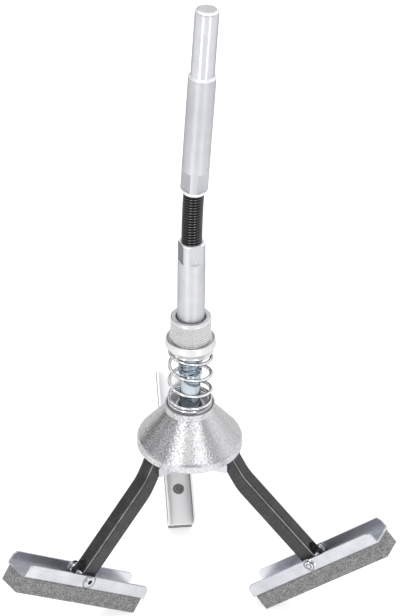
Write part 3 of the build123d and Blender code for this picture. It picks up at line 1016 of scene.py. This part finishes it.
@dataclass
class Spindle:
    """Threaded spindle: plain rod below, coarse thread above, spigot and stud at its ends.

    Attributes:
        tooth: Corners of a tooth, 0 at the root or 1 on the crest, and share of the pitch.
        run_out: Depth that the thread gains in each millimetre from its lower end.
    """

    rod_radius: float = 6.0
    relief: float = 0.25
    thread_radius: float = 6.95
    thread_depth: float = 1.15
    pitch: float = 2.0
    tooth: Profile = ((0, 0.0), (0, 0.16), (1, 0.52), (1, 0.64))
    run_out: float = 0.9
    thread_bottom: float = 50.0
    thread_top: float = 83.9
    spigot_radius: float = 4.8
    stud_radius: float = 4.0
    shoulder: float = -6.0
    edge: float = 0.8
    thread_steps: int = 72
    rod_steps: int = 64

    def thread(self) -> Blank:
        """Cuts the thread as a helical surface with a run-out at its lower end."""
        blank = Blank()
        root = self.thread_radius - self.thread_depth
        radii = (root, self.thread_radius)
        teeth = round((self.thread_top - self.thread_bottom) / self.pitch) + 3
        points = []
        for number in range(-1, teeth - 1):
            base = self.thread_bottom + number * self.pitch
            points += [(radii[high], base + share * self.pitch) for high, share in self.tooth]
        blank.spin(blank.chain(points), 1.0, self.pitch, self.thread_steps)
        blank.weld(0.01)
        blank.cut(self.thread_bottom, keep_above=True)
        blank.cut(self.thread_top, keep_above=False)
        for corner in blank.corners:
            limit = root + self.run_out * (corner.co.z - self.thread_bottom)
            if off_axis(corner) > limit > root - 0.01:
                draw_in(corner, limit)
        blank.cap()
        return blank

    def rod(self) -> Blank:
        """Turns the rod with its spigot and stud."""
        blank = Blank()
        low, high = box_mm("spindle")
        thin = self.rod_radius - self.relief
        points = [
            (0.0, low.z),
            (self.stud_radius - self.edge, low.z),
            (self.stud_radius, low.z + self.edge),
            (self.stud_radius, self.shoulder),
            (self.rod_radius, self.shoulder),
            (self.rod_radius, self.thread_bottom + 0.6),
            (thin, self.thread_bottom + 0.8),
            (thin, self.thread_top + 0.2),
            (self.spigot_radius, self.thread_top + 0.2),
            (self.spigot_radius, high.z - self.edge),
            (self.spigot_radius - self.edge, high.z),
            (0.0, high.z),
        ]
        blank.turn_up(points, self.rod_steps)
        return blank

    def build(self) -> None:
        """Builds the rod and its thread in place of the plain CAD spindle."""
        for blank, name in ((self.rod(), "spindle_rod"), (self.thread(), "spindle_thread")):
            made = blank.piece(name, THREAD_STEEL, "thread_steel")
            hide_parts("spindle")
            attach(made, Body.SPINDLE.value)


@dataclass
class KnurledNut:
    """Spring adjusting nut: flange (radius and height of its points), knurl and top ring."""

    bore: float = 7.01
    chamfer: float = 0.8
    counterbore: float = 8.45
    counterbore_floor: float = 83.9
    counterbore_edge: float = 0.6
    flange: Profile = (
        (12.6, 69.0), (13.2, 69.25), (14.45, 71.3), (14.6, 71.75), (14.6, 72.3),
        (14.12, 75.5), (13.6, 75.9), (13.1, 75.5), (12.7, 75.2), (11.2, 75.2),
    )
    ring_radius: float = 11.75
    knurl_radius: float = 12.0
    knurl_wall: float = 0.9
    knurl_depth: float = 0.5
    knurl_bottom: float = 75.8
    knurl_top: float = 88.6
    fade: float = 0.5
    teeth: int = 46
    cells_per_tooth: int = 4
    rows: int = 40
    body_steps: int = 128

    def body(self) -> Blank:
        """Turns the flange, the neck under the knurl and the top ring."""
        blank = Blank()
        top, bottom = box_mm("knurled_nut")[1].z, self.flange[0][1]
        points = [
            (self.bore + self.chamfer, bottom),
            *self.flange,
            (self.ring_radius - 0.45, self.knurl_top - 0.1),
            (self.ring_radius, self.knurl_top),
            (self.ring_radius, top - 1.0),
            (self.ring_radius - 0.25, top - 0.4),
            (self.ring_radius - 0.85, top),
            (self.counterbore + self.counterbore_edge, top),
            (self.counterbore, top - self.counterbore_edge),
            (self.counterbore, self.counterbore_floor),
            (self.bore, self.counterbore_floor),
            (self.bore, bottom + self.chamfer),
        ]
        blank.turn_up(points, self.body_steps, closed=True)
        return blank

    def knurl(self) -> Blank:
        """Presses crossed grooves into a band round the nut."""
        blank = Blank()
        bottom, top = self.knurl_bottom, self.knurl_top
        inner = self.knurl_radius - self.knurl_wall
        height = (top - bottom) / self.rows
        outer = [(self.knurl_radius, bottom + row * height) for row in range(self.rows + 1)]
        points = [(inner, bottom), *outer, (inner, top)]
        blank.turn_up(points, self.teeth * self.cells_per_tooth, closed=True)
        blank.weld()
        lead = height * self.cells_per_tooth
        for corner in blank.corners:
            if off_axis(corner) < self.knurl_radius - 0.1:
                continue
            around = atan2(corner.co.y, corner.co.x) / (2 * pi) * self.teeth
            along = (corner.co.z - bottom) / lead
            crest = min(self.wave(around + along), self.wave(around - along))
            from_end = min(corner.co.z - bottom, top - corner.co.z)
            fade = min(from_end / self.fade, 1.0)
            draw_in(corner, self.knurl_radius - self.knurl_depth * (1 - crest * fade))
        return blank

    @staticmethod
    def wave(place: float) -> float:
        """Height of a triangle wave, 0 in a groove and 1 on a crest."""
        return 1 - abs(2 * (place - floor(place)) - 1)

    def build(self) -> None:
        """Builds the nut in place of its plain CAD form."""
        for blank, name, finish, sharp in (
            (self.body(), "nut_body", NUT_ALUMINIUM, 28.0),
            (self.knurl(), "nut_knurl", KNURL_ALUMINIUM, 20.0),
        ):
            made = blank.piece(name, finish, "nut_aluminium", sharp)
            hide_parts("knurled_nut")
            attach(made, Body.NUT.value)


@dataclass
class TensionSpring:
    """Left-hand compression spring with closed ends, between the dish and the nut."""

    wire_radius: float = 1.0
    wire_sides: int = 16
    radius: float = 12.1
    lower_end_turns: float = 1.3
    middle_turns: float = 2.85
    upper_end_turns: float = 1.0
    end_pitch: float = 2.15
    start_azimuth: float = radians(-78.7)
    steps_per_turn: int = 64

    def build(self) -> None:
        """Winds the spring as two lengths."""
        low, high = box_mm("tension_spring")
        bottom, top = low.z + self.wire_radius, high.z - self.wire_radius
        end_rises = (self.lower_end_turns * self.end_pitch, self.upper_end_turns * self.end_pitch)
        middle_rise = (top - bottom - sum(end_rises)) / 2
        half_turns = self.middle_turns / 2
        lower_runs = ((self.lower_end_turns, end_rises[0]), (half_turns, middle_rise))
        upper_runs = ((half_turns, middle_rise), (self.upper_end_turns, end_rises[1]))
        middle = bottom + end_rises[0] + middle_rise
        places = [Vector((0.0, 0.0, height * MM)) for height in (bottom, middle, top)]
        turns_before = self.lower_end_turns + half_turns
        for name, start, turned, runs in (
            ("spring_lower", bottom, 0.0, lower_runs),
            ("spring_upper", middle, turns_before, upper_runs),
        ):
            blank = Blank()
            section = blank.ring(self.wire_radius, self.radius, start, self.wire_sides)
            for turns, rise in runs:
                section = blank.spin(section, -turns, rise, round(turns * self.steps_per_turn))
            blank.rotate(self.start_azimuth - 2 * pi * turned, "Z")
            blank.cap()
            made = blank.piece(name, SPRING_ZINC, "spring_zinc")
            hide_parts("tension_spring")
            if name == "spring_lower":
                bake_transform(made)
            else:
                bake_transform(made)


@dataclass
class Stone:
    """One honing stone with broken edges and a gritty face."""

    leg: str
    length: float = 100.0
    width: float = 15.2
    thickness: float = 10.5
    cell: float = 0.85
    edge: float = 0.5
    roughness: float = 0.11
    coarse_grain: float = 1.9
    fine_grain: float = 4.3
    fine_share: float = 0.6
    worn: float = 0.75
    leg_shift: float = 40.0

    def frame(self, record: dict, across: Vector) -> Matrix:
        """Place of the stone: x along it, y into the holder, z across.

        Args:
            record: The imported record.
            across: Direction across the stone.

        Returns:
            The matrix in millimetres.
        """
        mount = next(m for m in record["mounts"] if m["name"] == f"stone_face_{self.leg}")
        inward = -Vector(mount["axis"]).normalized()
        placed = Matrix((inward.cross(across), inward, across)).transposed().to_4x4()
        placed.translation = Vector(mount["pos_m"]) / MM
        return placed

    def build(self, frame: Matrix) -> None:
        """Builds the stone in place of its plain bar.

        Args:
            frame: The stone's place.
        """
        blank = Blank()
        work = blank.work
        sizes = (self.length, self.width, self.thickness)
        columns, rows, layers = (round(size / self.cell) for size in sizes)
        bmesh.ops.create_grid(work, x_segments=columns, y_segments=rows, size=0.5)
        bmesh.ops.scale(work, vec=(self.length, self.width, 1.0), verts=blank.corners)
        blank.rotate(-pi / 2, "X")
        made = bmesh.ops.extrude_face_region(work, geom=work.faces[:])
        raised = [item for item in made["geom"] if isinstance(item, bmesh.types.BMVert)]
        bmesh.ops.translate(work, vec=(0.0, self.thickness, 0.0), verts=raised)
        upright = [e for e in work.edges if abs(e.verts[0].co.y - e.verts[1].co.y) > 1.0]
        bmesh.ops.subdivide_edges(work, edges=upright, cuts=layers - 1, use_grid_fill=True)
        blank.weld()
        half = Vector((self.length / 2, self.thickness / 2, self.width / 2))
        centre = Vector((0.0, half.y, 0.0))
        shift = Vector((0.0, 0.0, self.leg_shift * LEGS.index(self.leg)))
        for corner in blank.corners:
            self.break_edges(corner, centre, half)
            spot = corner.co + shift
            out = (corner.co - centre).normalized()
            rough = noise.noise(spot * self.coarse_grain)
            rough += self.fine_share * noise.noise(spot * self.fine_grain)
            corner.co += out * (rough - self.worn) * self.roughness
        bmesh.ops.transform(work, matrix=frame, verts=blank.corners)
        made = blank.piece(f"stone_{self.leg}", STONE_GRIT, "stone_grit", 50.0)
        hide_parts(f"honing_stone_{self.leg}")
        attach(made, f"holder_{self.leg}")

    def break_edges(self, corner: bmesh.types.BMVert, centre: Vector, half: Vector) -> None:
        """Pulls a corner of the grid in where it lies beyond the rounded edge.

        Args:
            corner: The corner of the grid.
            centre: The stone's centre.
            half: Half of its sizes.
        """
        offset = corner.co - centre
        inner = Vector([min(max(o, self.edge - h), h - self.edge) for o, h in zip(offset, half)])
        beyond = offset - inner
        if beyond.length > self.edge:
            corner.co = centre + inner + beyond.normalized() * self.edge


@dataclass
class Leg:
    """One arm with its pin, holder, stone and rivet; the rivet's sizes are in metres."""

    name: str
    head_side: float = 1.0
    head_radius: float = 0.0042
    tail_radius: float = 0.0032
    tail_hole: float = 0.0015
    line: float = 0.0004

    def sheet(self, rivet_axis: dict, drawn: Triple) -> Finish:
        """Finish of the holder, with a line of painted shade round its rivet.

        Args:
            rivet_axis: Centre and direction of the rivet's axis, as a finish takes them.
            drawn: Direction that the sheet was rolled in.

        Returns:
            The finish.
        """
        rings = (
            (self.head_side, self.head_radius + self.line / 2, self.line),
            (-self.head_side, self.tail_radius + self.line / 2, self.line),
        )
        name = f"plated_sheet_{self.name}"
        # The back holder gets a paler, less metallic copy of the plating, which is painted light,
        # and its flanges are darkened as painted shade.
        if self.name == "back":
            return SheetZinc(
                name,
                metallic=0.12,
                roughness=0.42,
                tone=grey(0.98),
                shade=grey(0.93, 0.005),
                side_shade=grey(0.16, 0.01),
                rings=rings,
                **rivet_axis,
            )
        return SheetZinc(
            name,
            roughness=0.29,
            shade=(0.54, 0.555, 0.595),
            relief=0.07 * MM,
            # One flange of each front holder is painted paler: painted light.
            painted_light_side=self.head_side if self.name == "right" else -self.head_side,
            rings=rings,
            drawn=drawn,
            **rivet_axis,
        )

    def rivet(self, rivet_axis: dict) -> Finish:
        """Finish of the holder's rivet, with painted shade round its rim and in its hollow end.

        Args:
            rivet_axis: Centre and direction of the rivet's axis, as a finish takes them.

        Returns:
            The finish.
        """
        rings = (
            (self.head_side, self.head_radius - self.line, self.line),
            (-self.head_side, self.tail_radius - self.line / 2, 0.75 * self.line),
            (-self.head_side, self.tail_hole, self.line),
        )
        name = f"plated_rivet_{self.name}"
        return SheetZinc(name, roughness=0.16, tone=(0.66, 0.67, 0.69), rings=rings, **rivet_axis)

    def build(self, nodes: dict[str, bpy.types.Object], record: dict) -> None:
        """Dresses the leg's sheet parts and builds its stone.

        Args:
            nodes: The CAD nodes by name.
            record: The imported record.
        """
        leg = self.name
        enamel = Enamel(
            f"enamel_{leg}", metallic=0.0, roughness=0.42, coat=0.15, across=ARM_ACROSS[leg]
        )
        dress(nodes, f"arm_{leg}", enamel)
        joints = record["behaviour"]["joints"]
        joint = next(joint for joint in joints if joint["name"] == f"holder_{leg}_tilt")
        rivet_axis = {"centre": tuple(joint["pos_m"]), "across": tuple(joint["axis"])}
        stone = Stone(leg)
        frame = stone.frame(record, -Vector(joint["axis"]).normalized())
        dress(nodes, f"stone_holder_{leg}", self.sheet(rivet_axis, tuple(frame.col[0].xyz)))
        dress(nodes, f"holder_rivet_{leg}", self.rivet(rivet_axis))
        for piece in ("pivot_pin", "rivet_spacers"):
            dress(nodes, f"{piece}_{leg}", PIN_ZINC)
        stone.build(frame)


@dataclass
class Softbox:
    """One rectangular lamp that looks at the hone; angles in degrees, lengths in metres."""

    name: str
    azimuth: float
    elevation: float
    distance: float
    width: float
    height: float
    power: float

    def build(self, target: Vector) -> None:
        """Sets the lamp up and turns it to the target.

        Args:
            target: What the lamp looks at, in metres.
        """
        around, up = radians(self.azimuth), radians(self.elevation)
        away = Vector((cos(around) * cos(up), sin(around) * cos(up), sin(up)))
        lamp = bpy.data.lights.new(self.name, "AREA")
        lamp.shape = "RECTANGLE"
        lamp.size, lamp.size_y = self.width, self.height
        lamp.energy = self.power
        made = stand(self.name, lamp)
        made.location = target + away * self.distance
        made.rotation_mode = "QUATERNION"
        made.rotation_quaternion = away.to_track_quat("Z", "Y")
        made.visible_camera = False


@dataclass
class Studio:
    """Pale floor, soft light and the camera.

    Attributes:
        walls: Start, end and level of the bands of light and dark round the room.
        crown: Start, end and level of the bands overhead, by the view's upward share.
    """

    camera_azimuth: float = -96.7
    elevation: float = 33.84
    distance: float = 1364.75
    roll: float = 0.75
    target_side: float = 5.11
    target_height: float = 95.67
    focal_pixels: float = 2400.0
    picture_height: float = 616.0
    sensor: float = 36.0
    floor_size: float = 8.0
    floor_albedo: float = 0.52
    floor_glow: float = 0.66
    lamp_target: Triple = (0.0, 0.0, 0.06)
    backdrop: Triple = grey(1.05)
    skirting: Triple = grey(0.05)
    walls: tuple[Triple, ...] = (
        (0.000, 0.000, 0.70), (0.080, 0.080, 0.95), (0.290, 0.290, 1.05), (0.315, 0.345, 0.35),
        (0.380, 0.620, 0.60), (0.650, 0.690, 0.22), (0.700, 0.718, 1.30), (0.730, 0.760, 0.05),
        (0.772, 0.795, 0.95), (0.807, 0.850, 0.05), (0.862, 0.895, 0.80), (0.910, 0.910, 0.10),
        (0.950, 0.950, 0.20),
    )
    crown: tuple[Triple, ...] = ((0.72, 0.83, 1.20), (0.91, 0.91, 0.75), (1.00, 1.00, 1.10))

    def camera(self) -> None:
        """Sets the camera up where the photographer's stood."""
        up = radians(self.elevation)
        spin = Matrix.Rotation(radians(self.camera_azimuth + 90), 3, "Z")
        back = spin @ Vector((0.0, -cos(up), sin(up)))
        right = spin @ Vector((1.0, 0.0, 0.0))
        top = back.cross(right)
        tilt = radians(self.roll)
        right_edge = right * cos(tilt) + top * sin(tilt)
        top_edge = top * cos(tilt) - right * sin(tilt)
        spot = Vector((0.0, 0.0, self.target_height)) + right * self.target_side
        spot += back * self.distance
        lens = bpy.data.cameras.new("camera")
        lens.sensor_width = self.sensor
        lens.lens = self.sensor * self.focal_pixels / self.picture_height
        lens.clip_start, lens.clip_end = 0.05, 30.0
        placed = Matrix((right_edge, top_edge, back)).transposed().to_4x4()
        placed.translation = spot * MM
        made = stand("camera", lens)
        made.matrix_world = placed
        bpy.context.scene.camera = made

    def floor(self) -> None:
        """Lays the floor under the stones."""
        blank = bmesh.new()
        bmesh.ops.create_grid(blank, x_segments=1, y_segments=1, size=self.floor_size / 2)
        bmesh.ops.translate(blank, vec=(0.0, 0.0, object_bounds()[0].z), verts=blank.verts[:])
        mesh = bpy.data.meshes.new("floor")
        blank.to_mesh(mesh)
        blank.free()
        paper = bpy.data.materials.new("paper")
        Graph(paper).shade(
            {
                "Base Color": (*grey(self.floor_albedo), 1.0),
                "Roughness": 0.9,
                "Specular IOR Level": 0.1,
                "Emission Color": (*grey(1.0), 1.0),
                "Emission Strength": self.floor_glow,
            }
        )
        mesh.materials.append(paper)
        stand("floor", mesh)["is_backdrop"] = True

    def room(self) -> None:
        """Lights the room: bands of light and dark that the metal mirrors, pale to the camera."""
        world = bpy.data.worlds.new("room")
        bpy.context.scene.world = world
        graph = Graph(world)
        x, y, z = graph.split(graph.out(graph.node("ShaderNodeTexCoord"), "Generated"))
        turn = radians(self.camera_azimuth)
        toward = x * cos(turn) + y * sin(turn)
        leftward = x * sin(turn) - y * cos(turn)
        around = graph.math("ARCTAN2", leftward, toward) * (0.5 / pi) + 0.5
        walls = graph.bands(around, self.walls)
        walls = graph.mix(z.spread(0.16, 0.02) * 0.75, walls, self.skirting)
        sky = graph.mix(z.spread(0.70, 0.76), walls, graph.bands(z, self.crown))
        seen = graph.out(graph.node("ShaderNodeLightPath"), "Is Camera Ray")
        sky = graph.mix(seen, sky, self.backdrop)
        light = graph.node("ShaderNodeBackground", {"Color": sky, "Strength": 1.0})
        graph.node("ShaderNodeOutputWorld", {"Surface": graph.out(light)})

    def build(self) -> None:
        """Builds the studio round the hone."""
        self.camera()
        self.floor()
        self.room()
        for lamp in (
            Softbox("lamp_left", self.camera_azimuth - 30, 46, 1.5, 0.15, 1.1, 2.6),
            Softbox("lamp_right", self.camera_azimuth + 27, 46, 1.5, 0.13, 1.1, 2.3),
            Softbox("lamp_top", self.camera_azimuth + 180, 72, 1.8, 1.6, 1.6, 9.0),
            Softbox("strip_left", self.camera_azimuth - 31, 0, 0.32, 0.045, 0.30, 0.11),
            Softbox("strip_right", self.camera_azimuth + 34, 0, 0.32, 0.045, 0.30, 0.075),
        ):
            lamp.build(Vector(self.lamp_target))
        view = bpy.context.scene.view_settings
        view.view_transform = "Standard"
        view.exposure = 0.0


def main() -> None:
    """Builds the hone and its studio in order."""
    logging.basicConfig(level=logging.INFO, format="%(name)s %(message)s")
    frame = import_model()
    nodes, record = frame["nodes"], frame["record"]
    Studio().build()
    for part in (DriveEnd(), Spindle(), KnurledNut(), TensionSpring()):
        part.build()
    for name, finish in CAD_FINISHES.items():
        dress(nodes, name, finish)
    for name in LEGS:
        Leg(name).build(nodes, record)


if __name__ == "__main__":
    main()
